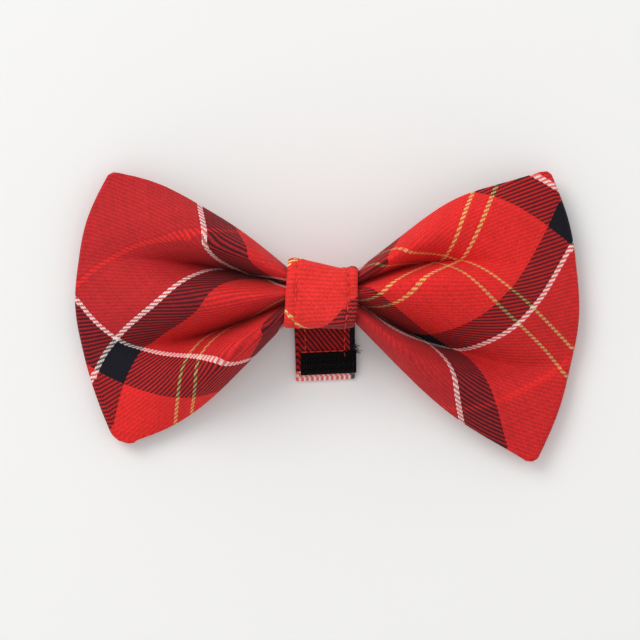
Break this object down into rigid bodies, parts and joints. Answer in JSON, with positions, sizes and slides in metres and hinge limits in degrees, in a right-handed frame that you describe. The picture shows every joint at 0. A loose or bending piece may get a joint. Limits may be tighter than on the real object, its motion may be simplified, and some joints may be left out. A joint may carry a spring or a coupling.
{
  "type": "pet bow tie",
  "caption": "Cloth bow with a wrapped middle and a short hook-and-loop strap behind it that closes round a pet's collar.",
  "frame": {"origin": "on the surface that the bow lies on, under the middle of its outline", "axes": "+X along the bow's length, +Y towards its top edge (the strap's free end is at -Y), +Z out of its front"},
  "size_m": [0.12, 0.0688, 0.0215],
  "materials": {
    "bow_cloth": "bias-cut tartan twill, matt",
    "knot_cloth": "bias-cut tartan twill, matt, topstitched",
    "strap_cloth": "maroon band of the tartan twill, on grain, topstitched",
    "hook_tape": "black woven hook tape",
    "loop_tape": "black brushed loop tape"
  },
  "bodies": {
    "root": {"bow": "bow_cloth", "knot_band": "knot_cloth", "strap": "strap_cloth", "hook_patch": "hook_tape", "loop_patch": "loop_tape"}
  },
  "joints": []
}
